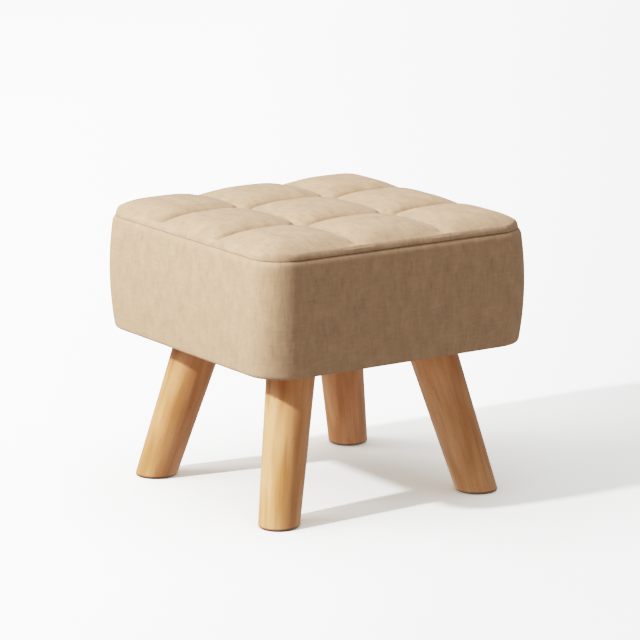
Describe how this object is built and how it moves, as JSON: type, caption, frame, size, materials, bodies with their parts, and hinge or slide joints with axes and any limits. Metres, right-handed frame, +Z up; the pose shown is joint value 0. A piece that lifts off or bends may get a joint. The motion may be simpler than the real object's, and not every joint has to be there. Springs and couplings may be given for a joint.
{
  "type": "quilted cube pouf stool on wooden legs",
  "caption": "Low square padded footstool with a quilted top and rolled edge over a plain cloth side band, standing on splayed, tapered round wooden legs.",
  "frame": {"origin": "on the floor, at the centre of the footprint of the whole stool", "axes": "+Z up, -Y towards the front; the four sides of the seat face +X, -X, +Y and -Y"},
  "size_m": [0.3048, 0.3048, 0.2766],
  "materials": {
    "cloth_top": "matt oatmeal plain weave with a fine slub",
    "cloth_band": "matt oatmeal plain weave with a fine slub running up the sides",
    "leg_wood": "light wood with fine lengthways grain under a satin oil"
  },
  "bodies": {
    "root": {"quilted_top": "cloth_top", "side_band": "cloth_band", "leg_front_left": "leg_wood", "leg_front_right": "leg_wood", "leg_back_left": "leg_wood", "leg_back_right": "leg_wood"}
  },
  "joints": []
}
